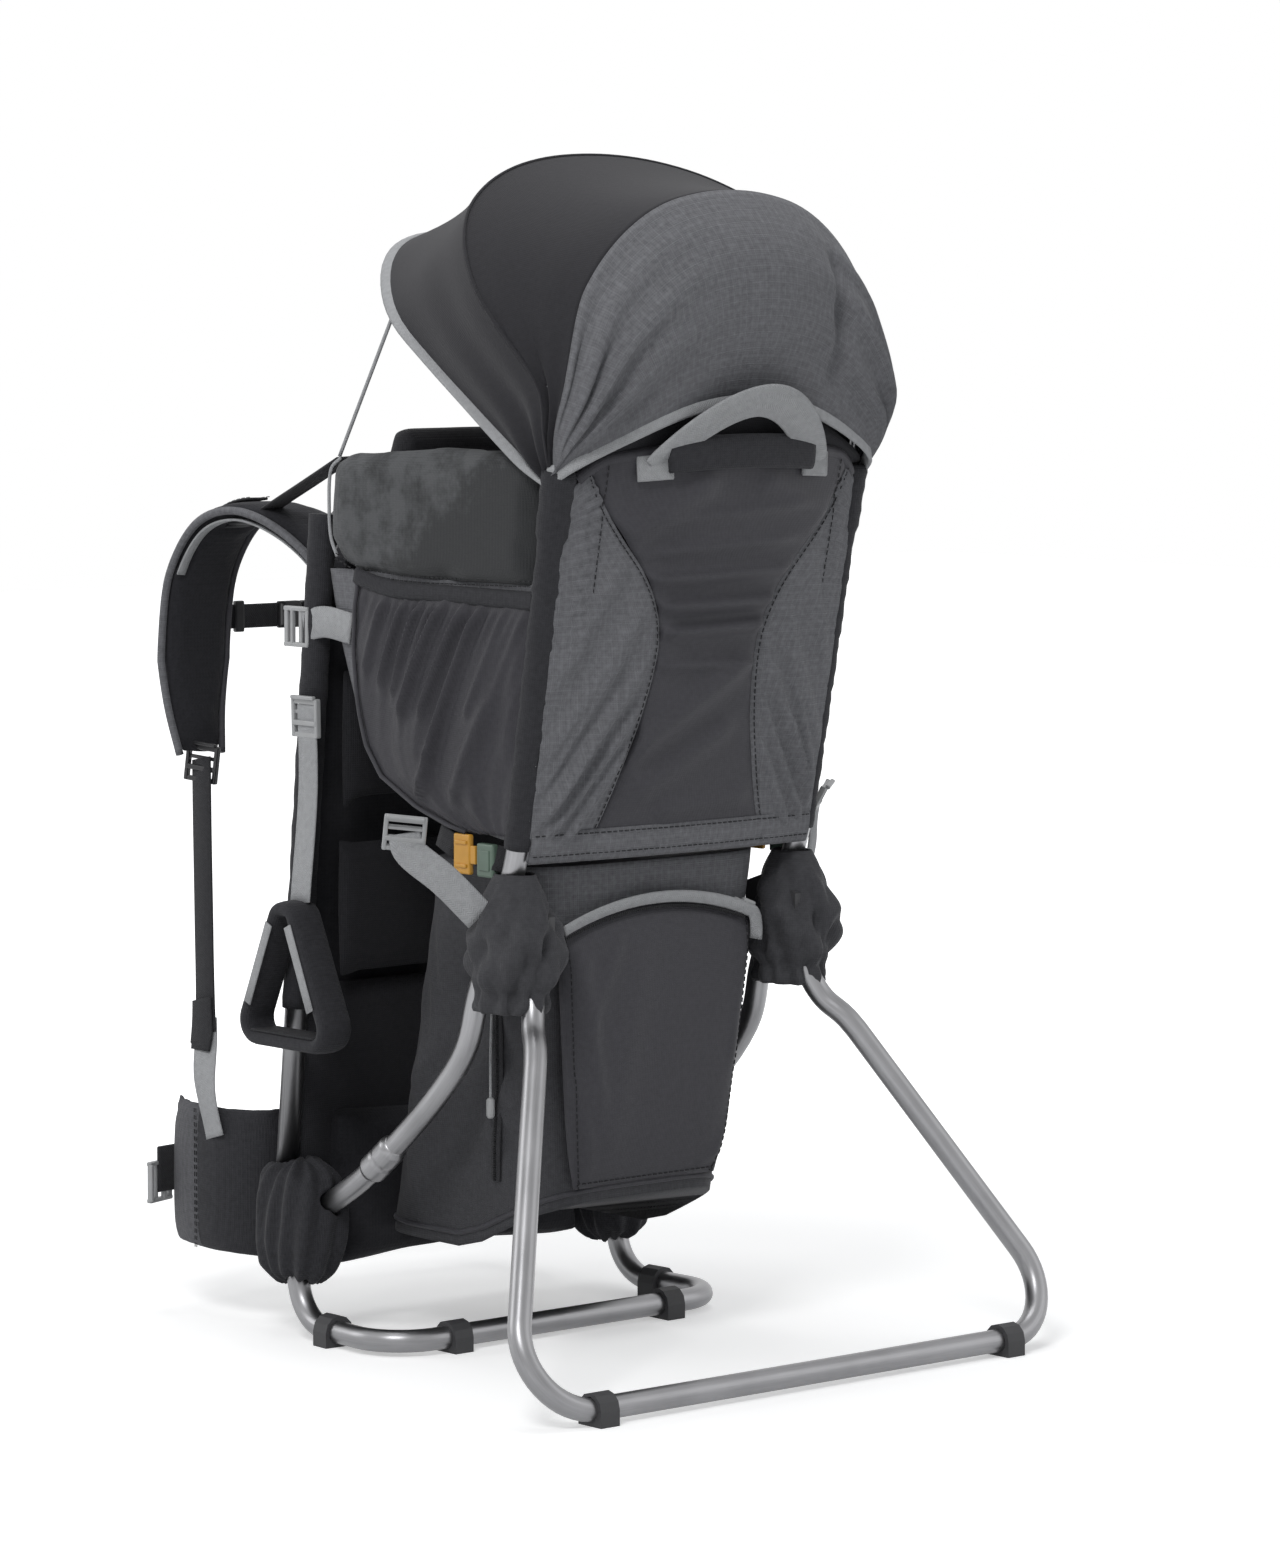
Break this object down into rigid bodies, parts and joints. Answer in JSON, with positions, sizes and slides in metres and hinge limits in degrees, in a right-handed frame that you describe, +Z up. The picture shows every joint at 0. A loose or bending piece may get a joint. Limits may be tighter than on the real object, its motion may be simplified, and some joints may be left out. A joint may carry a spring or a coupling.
{
  "type": "baby carrier backpack",
  "caption": "Child carrier backpack: tube frame with folding kickstand, padded cabin, sun canopy, storage bag, wearer harness and hip belt.",
  "frame": {"origin": "centre of the bounding box on the floor that the feet stand on", "axes": "+Z up, +Y the way the wearer faces, +X the wearer's right; the kickstand stands towards -Y"},
  "size_m": [0.5384, 0.6496, 0.9326],
  "materials": {
    "alloy_tube": "satin",
    "black_plastic": "moulded, fine grain",
    "grey_plastic": "moulded",
    "amber_plastic": "moulded",
    "green_plastic": "moulded",
    "ripstop": "ripstop weave",
    "smooth_cloth": "smooth woven",
    "velour": "brushed pile",
    "dark_cloth": "coarse woven and mesh",
    "grey_webbing": "woven webbing",
    "black_webbing": "woven webbing"
  },
  "bodies": {
    "pack": {"base_loop": "alloy_tube", "back_frame": "alloy_tube", "side_tube_left": "alloy_tube", "side_tube_right": "alloy_tube", "front_foot_left": "black_plastic", "front_foot_right": "black_plastic", "rear_foot_left": "black_plastic", "rear_foot_right": "black_plastic", "lower_joint_cover_left": "dark_cloth", "lower_joint_cover_right": "dark_cloth", "hinge_bracket_left": "black_plastic", "hinge_bracket_right": "black_plastic", "hinge_pin_left": "alloy_tube", "hinge_pin_right": "alloy_tube", "hinge_cover_left": "dark_cloth", "hinge_cover_right": "dark_cloth", "canopy_socket_left": "black_plastic", "canopy_socket_right": "black_plastic", "canopy_rear_bow": "alloy_tube", "canopy_rear_panel": "ripstop", "canopy_middle_panel": "smooth_cloth", "visor_cord_left": "grey_webbing", "visor_cord_right": "grey_webbing", "side_wall_left": "ripstop", "side_wall_right": "ripstop", "side_collar_left": "velour", "side_collar_right": "velour", "rear_panel": "ripstop", "cabin_front_wall": "smooth_cloth", "grab_handle": "grey_webbing", "storage_bag": "ripstop", "lower_pocket": "smooth_cloth", "side_zip_pull": "black_webbing", "lumbar_pad": "dark_cloth", "belt_wing_left": "dark_cloth", "belt_wing_right": "dark_cloth", "belt_strap": "black_webbing", "back_pad": "dark_cloth", "load_lifter_left": "black_webbing", "load_lifter_right": "black_webbing", "strap_webbing_left": "black_webbing", "strap_webbing_right": "black_webbing", "entry_socket_left": "green_plastic", "entry_socket_right": "green_plastic"},
    "kickstand": {"kickstand": "alloy_tube", "stand_foot_left": "black_plastic", "stand_foot_right": "black_plastic"},
    "canopy_front": {"canopy_front_bow": "alloy_tube", "canopy_visor": "smooth_cloth"},
    "seat": {"child_seat": "velour"},
    "harness": {"shoulder_strap_left": "dark_cloth", "shoulder_strap_right": "dark_cloth", "chest_strap": "black_webbing"},
    "chest_clip": {"chest_clip": "black_plastic"},
    "belt_clip": {"belt_clip": "black_plastic"},
    "entry_clip_left": {"entry_clip_left": "amber_plastic"},
    "entry_clip_right": {"entry_clip_right": "amber_plastic"},
    "stirrup_left": {"stirrup_left": "dark_cloth"},
    "stirrup_right": {"stirrup_right": "dark_cloth"},
    "pocket_zip": {"zip_slider": "grey_plastic"}
  },
  "joints": [
    {"name": "kickstand_fold", "type": "hinge", "parent": "pack", "child": "kickstand", "pos_m": [0, -0.14485, 0.338], "axis": [1, 0, 0], "range_deg": [0, 45]},
    {"name": "canopy_fold", "type": "hinge", "parent": "pack", "child": "canopy_front", "pos_m": [0, -0.20785, 0.755], "axis": [1, 0, 0], "range_deg": [0, 40], "deforming": ["canopy_middle_panel", "visor_cord_left", "visor_cord_right"]},
    {"name": "seat_height", "type": "slide", "parent": "pack", "child": "seat", "axis": [0, -0.0441, 0.999], "range_m": [0, 0.04]},
    {"name": "harness_height", "type": "slide", "parent": "pack", "child": "harness", "axis": [0, -0.0441, 0.999], "range_m": [-0.05, 0.03], "deforming": ["load_lifter_left", "load_lifter_right", "strap_webbing_left", "strap_webbing_right"]},
    {"name": "chest_release", "type": "slide", "parent": "harness", "child": "chest_clip", "axis": [1, 0, 0], "range_m": [0, 0.02]},
    {"name": "belt_release", "type": "slide", "parent": "pack", "child": "belt_clip", "axis": [1, 0, 0], "range_m": [0, 0.032]},
    {"name": "entry_release_left", "type": "slide", "parent": "pack", "child": "entry_clip_left", "axis": [0, 1, 0], "range_m": [0, 0.022]},
    {"name": "entry_release_right", "type": "slide", "parent": "pack", "child": "entry_clip_right", "axis": [0, 1, 0], "range_m": [0, 0.022]},
    {"name": "stirrup_height_left", "type": "slide", "parent": "pack", "child": "stirrup_left", "axis": [0, 0, 1], "range_m": [0, 0.05]},
    {"name": "stirrup_height_right", "type": "slide", "parent": "pack", "child": "stirrup_right", "axis": [0, 0, 1], "range_m": [0, 0.05]},
    {"name": "pocket_zip_travel", "type": "hinge", "parent": "pack", "child": "pocket_zip", "pos_m": [0, -0.13285, 0.101], "axis": [0, -0.9982, -0.0603], "range_deg": [0, 40]}
  ]
}
